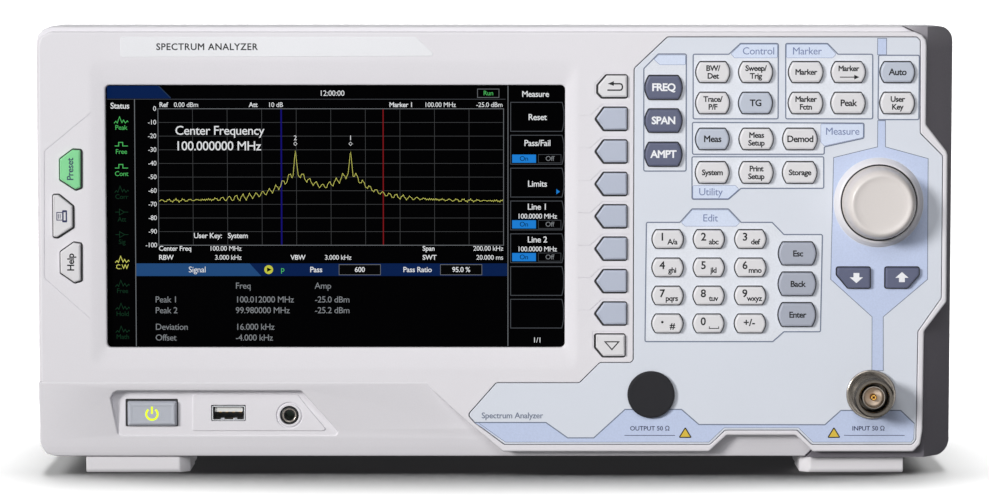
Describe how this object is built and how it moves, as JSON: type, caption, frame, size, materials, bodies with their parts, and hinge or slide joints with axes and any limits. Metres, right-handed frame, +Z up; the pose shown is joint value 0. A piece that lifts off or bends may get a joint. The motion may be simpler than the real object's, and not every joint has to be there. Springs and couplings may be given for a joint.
{
  "type": "spectrum analyzer",
  "caption": "Bench spectrum analyzer with a wide display, soft keys, keypad, tuning knob, RF ports, fold-out front legs and a folding top handle.",
  "frame": {"origin": "on the surface the instrument stands on, below the centre of its overall box", "axes": "+X to the right seen from the front, +Z up, the front panel faces -Y"},
  "size_m": [0.3616, 0.156, 0.177],
  "materials": {
    "cover_plastic": "fine texture, light grey",
    "case_plastic": "fine texture, light grey",
    "panel_inlay": "satin, pale blue grey",
    "window": "polished, black",
    "lcd_metal": "pressed sheet",
    "circuit_board": "green solder mask",
    "connector_metal": "nickel plated, turned",
    "cap_plastic": "satin, near black",
    "shield_metal": "tinned sheet",
    "chassis_steel": "zinc plated sheet",
    "supply": "black",
    "fan_plastic": "black",
    "foot_rubber": "matt",
    "knob_plastic": "satin, warm light grey",
    "handle_grip": "matt, dark grey",
    "leg_plastic": "fine texture, light grey",
    "power_button": "satin, grey with a lit symbol",
    "key_light": "satin, light grey",
    "key_soft": "satin, blue grey",
    "key_tint": "satin, blue grey",
    "key_slate": "satin, slate",
    "key_edit": "satin, mid grey",
    "key_green": "translucent green"
  },
  "bodies": {
    "instrument_body": {"front_bezel": "cover_plastic", "control_panel": "panel_inlay", "display_window": "window", "lcd_module": "lcd_metal", "keypad_board": "circuit_board", "front_io_board": "circuit_board", "rf_input_connector": "connector_metal", "gen_output_cap": "cap_plastic", "rf_module": "shield_metal", "chassis": "chassis_steel", "main_board": "circuit_board", "power_supply": "supply", "fan": "fan_plastic", "rear_case": "case_plastic", "rear_foot_left": "foot_rubber", "rear_foot_right": "foot_rubber"},
    "tuning_knob": {"tuning_knob": "knob_plastic"},
    "carry_handle": {"carry_handle": "handle_grip"},
    "left_leg": {"left_leg": "leg_plastic"},
    "right_leg": {"right_leg": "leg_plastic"},
    "fan_rotor": {"fan_rotor": "fan_plastic"},
    "freq_key": {"freq_key": "key_slate"},
    "span_key": {"span_key": "key_slate"},
    "ampt_key": {"ampt_key": "key_slate"},
    "bw_key": {"bw_key": "key_light"},
    "sweep_key": {"sweep_key": "key_light"},
    "trace_key": {"trace_key": "key_light"},
    "tg_key": {"tg_key": "key_tint"},
    "marker_key": {"marker_key": "key_light"},
    "marker_to_key": {"marker_to_key": "key_light"},
    "marker_fctn_key": {"marker_fctn_key": "key_light"},
    "peak_key": {"peak_key": "key_light"},
    "auto_key": {"auto_key": "key_tint"},
    "user_key": {"user_key": "key_light"},
    "meas_key": {"meas_key": "key_tint"},
    "meas_setup_key": {"meas_setup_key": "key_light"},
    "demod_key": {"demod_key": "key_light"},
    "system_key": {"system_key": "key_light"},
    "print_setup_key": {"print_setup_key": "key_light"},
    "storage_key": {"storage_key": "key_light"},
    "down_key": {"down_key": "key_slate"},
    "up_key": {"up_key": "key_slate"},
    "number_keys_1_2_3": {"number_keys_1_2_3": "key_light"},
    "number_keys_4_5_6": {"number_keys_4_5_6": "key_light"},
    "number_keys_7_8_9": {"number_keys_7_8_9": "key_light"},
    "number_keys_point_0_sign": {"number_keys_point_0_sign": "key_light"},
    "esc_back_enter_keys": {"esc_back_enter_keys": "key_edit"},
    "preset_key": {"preset_key": "key_green"},
    "print_key": {"print_key": "key_light"},
    "help_key": {"help_key": "key_light"},
    "return_key": {"return_key": "key_light"},
    "softkey_1": {"softkey_1": "key_soft"},
    "softkey_2": {"softkey_2": "key_soft"},
    "softkey_3": {"softkey_3": "key_soft"},
    "softkey_4": {"softkey_4": "key_soft"},
    "softkey_5": {"softkey_5": "key_soft"},
    "softkey_6": {"softkey_6": "key_soft"},
    "softkey_7": {"softkey_7": "key_soft"},
    "page_key": {"page_key": "key_light"},
    "power_button": {"power_button": "power_button"}
  },
  "joints": [
    {"name": "tuning_knob_turn", "type": "hinge", "parent": "instrument_body", "child": "tuning_knob", "pos_m": [0.1505, -0.07, 0.108], "axis": [0, 1, 0], "continuous": true},
    {"name": "handle_fold", "type": "hinge", "parent": "instrument_body", "child": "carry_handle", "pos_m": [0, -0.004, 0.173], "axis": [1, 0, 0], "range_deg": [0, 90]},
    {"name": "left_leg_fold", "type": "hinge", "parent": "instrument_body", "child": "left_leg", "pos_m": [-0.142, -0.025, 0.0036], "axis": [1, 0, 0], "range_deg": [0, 90]},
    {"name": "right_leg_fold", "type": "hinge", "parent": "instrument_body", "child": "right_leg", "pos_m": [0.1414, -0.025, 0.0036], "axis": [1, 0, 0], "range_deg": [0, 90]},
    {"name": "fan_spin", "type": "hinge", "parent": "instrument_body", "child": "fan_rotor", "pos_m": [0.108, 0.05, 0.122], "axis": [0, 1, 0], "continuous": true},
    {"name": "freq_key_press", "type": "slide", "parent": "instrument_body", "child": "freq_key", "axis": [0, 1, 0], "range_m": [0, 0.0012], "stiffness_N_per_m": 400},
    {"name": "span_key_press", "type": "slide", "parent": "instrument_body", "child": "span_key", "axis": [0, 1, 0], "range_m": [0, 0.0012], "stiffness_N_per_m": 400},
    {"name": "ampt_key_press", "type": "slide", "parent": "instrument_body", "child": "ampt_key", "axis": [0, 1, 0], "range_m": [0, 0.0012], "stiffness_N_per_m": 400},
    {"name": "bw_key_press", "type": "slide", "parent": "instrument_body", "child": "bw_key", "axis": [0, 1, 0], "range_m": [0, 0.0012], "stiffness_N_per_m": 400},
    {"name": "sweep_key_press", "type": "slide", "parent": "instrument_body", "child": "sweep_key", "axis": [0, 1, 0], "range_m": [0, 0.0012], "stiffness_N_per_m": 400},
    {"name": "trace_key_press", "type": "slide", "parent": "instrument_body", "child": "trace_key", "axis": [0, 1, 0], "range_m": [0, 0.0012], "stiffness_N_per_m": 400},
    {"name": "tg_key_press", "type": "slide", "parent": "instrument_body", "child": "tg_key", "axis": [0, 1, 0], "range_m": [0, 0.0012], "stiffness_N_per_m": 400},
    {"name": "marker_key_press", "type": "slide", "parent": "instrument_body", "child": "marker_key", "axis": [0, 1, 0], "range_m": [0, 0.0012], "stiffness_N_per_m": 400},
    {"name": "marker_to_key_press", "type": "slide", "parent": "instrument_body", "child": "marker_to_key", "axis": [0, 1, 0], "range_m": [0, 0.0012], "stiffness_N_per_m": 400},
    {"name": "marker_fctn_key_press", "type": "slide", "parent": "instrument_body", "child": "marker_fctn_key", "axis": [0, 1, 0], "range_m": [0, 0.0012], "stiffness_N_per_m": 400},
    {"name": "peak_key_press", "type": "slide", "parent": "instrument_body", "child": "peak_key", "axis": [0, 1, 0], "range_m": [0, 0.0012], "stiffness_N_per_m": 400},
    {"name": "auto_key_press", "type": "slide", "parent": "instrument_body", "child": "auto_key", "axis": [0, 1, 0], "range_m": [0, 0.0012], "stiffness_N_per_m": 400},
    {"name": "user_key_press", "type": "slide", "parent": "instrument_body", "child": "user_key", "axis": [0, 1, 0], "range_m": [0, 0.0012], "stiffness_N_per_m": 400},
    {"name": "meas_key_press", "type": "slide", "parent": "instrument_body", "child": "meas_key", "axis": [0, 1, 0], "range_m": [0, 0.0012], "stiffness_N_per_m": 400},
    {"name": "meas_setup_key_press", "type": "slide", "parent": "instrument_body", "child": "meas_setup_key", "axis": [0, 1, 0], "range_m": [0, 0.0012], "stiffness_N_per_m": 400},
    {"name": "demod_key_press", "type": "slide", "parent": "instrument_body", "child": "demod_key", "axis": [0, 1, 0], "range_m": [0, 0.0012], "stiffness_N_per_m": 400},
    {"name": "system_key_press", "type": "slide", "parent": "instrument_body", "child": "system_key", "axis": [0, 1, 0], "range_m": [0, 0.0012], "stiffness_N_per_m": 400},
    {"name": "print_setup_key_press", "type": "slide", "parent": "instrument_body", "child": "print_setup_key", "axis": [0, 1, 0], "range_m": [0, 0.0012], "stiffness_N_per_m": 400},
    {"name": "storage_key_press", "type": "slide", "parent": "instrument_body", "child": "storage_key", "axis": [0, 1, 0], "range_m": [0, 0.0012], "stiffness_N_per_m": 400},
    {"name": "down_key_press", "type": "slide", "parent": "instrument_body", "child": "down_key", "axis": [0, 1, 0], "range_m": [0, 0.0012], "stiffness_N_per_m": 400},
    {"name": "up_key_press", "type": "slide", "parent": "instrument_body", "child": "up_key", "axis": [0, 1, 0], "range_m": [0, 0.0012], "stiffness_N_per_m": 400},
    {"name": "number_keys_1_2_3_press", "type": "slide", "parent": "instrument_body", "child": "number_keys_1_2_3", "axis": [0, 1, 0], "range_m": [0, 0.0012], "stiffness_N_per_m": 400},
    {"name": "number_keys_4_5_6_press", "type": "slide", "parent": "instrument_body", "child": "number_keys_4_5_6", "axis": [0, 1, 0], "range_m": [0, 0.0012], "stiffness_N_per_m": 400},
    {"name": "number_keys_7_8_9_press", "type": "slide", "parent": "instrument_body", "child": "number_keys_7_8_9", "axis": [0, 1, 0], "range_m": [0, 0.0012], "stiffness_N_per_m": 400},
    {"name": "number_keys_point_0_sign_press", "type": "slide", "parent": "instrument_body", "child": "number_keys_point_0_sign", "axis": [0, 1, 0], "range_m": [0, 0.0012], "stiffness_N_per_m": 400},
    {"name": "esc_back_enter_keys_press", "type": "slide", "parent": "instrument_body", "child": "esc_back_enter_keys", "axis": [0, 1, 0], "range_m": [0, 0.0012], "stiffness_N_per_m": 400},
    {"name": "preset_key_press", "type": "slide", "parent": "instrument_body", "child": "preset_key", "axis": [0, 1, 0], "range_m": [0, 0.0012], "stiffness_N_per_m": 400},
    {"name": "print_key_press", "type": "slide", "parent": "instrument_body", "child": "print_key", "axis": [0, 1, 0], "range_m": [0, 0.0012], "stiffness_N_per_m": 400},
    {"name": "help_key_press", "type": "slide", "parent": "instrument_body", "child": "help_key", "axis": [0, 1, 0], "range_m": [0, 0.0012], "stiffness_N_per_m": 400},
    {"name": "return_key_press", "type": "slide", "parent": "instrument_body", "child": "return_key", "axis": [0, 1, 0], "range_m": [0, 0.0012], "stiffness_N_per_m": 400},
    {"name": "softkey_1_press", "type": "slide", "parent": "instrument_body", "child": "softkey_1", "axis": [0, 1, 0], "range_m": [0, 0.0012], "stiffness_N_per_m": 400},
    {"name": "softkey_2_press", "type": "slide", "parent": "instrument_body", "child": "softkey_2", "axis": [0, 1, 0], "range_m": [0, 0.0012], "stiffness_N_per_m": 400},
    {"name": "softkey_3_press", "type": "slide", "parent": "instrument_body", "child": "softkey_3", "axis": [0, 1, 0], "range_m": [0, 0.0012], "stiffness_N_per_m": 400},
    {"name": "softkey_4_press", "type": "slide", "parent": "instrument_body", "child": "softkey_4", "axis": [0, 1, 0], "range_m": [0, 0.0012], "stiffness_N_per_m": 400},
    {"name": "softkey_5_press", "type": "slide", "parent": "instrument_body", "child": "softkey_5", "axis": [0, 1, 0], "range_m": [0, 0.0012], "stiffness_N_per_m": 400},
    {"name": "softkey_6_press", "type": "slide", "parent": "instrument_body", "child": "softkey_6", "axis": [0, 1, 0], "range_m": [0, 0.0012], "stiffness_N_per_m": 400},
    {"name": "softkey_7_press", "type": "slide", "parent": "instrument_body", "child": "softkey_7", "axis": [0, 1, 0], "range_m": [0, 0.0012], "stiffness_N_per_m": 400},
    {"name": "page_key_press", "type": "slide", "parent": "instrument_body", "child": "page_key", "axis": [0, 1, 0], "range_m": [0, 0.0012], "stiffness_N_per_m": 400},
    {"name": "power_button_press", "type": "slide", "parent": "instrument_body", "child": "power_button", "axis": [0, 1, 0], "range_m": [0, 0.0012], "stiffness_N_per_m": 400}
  ]
}
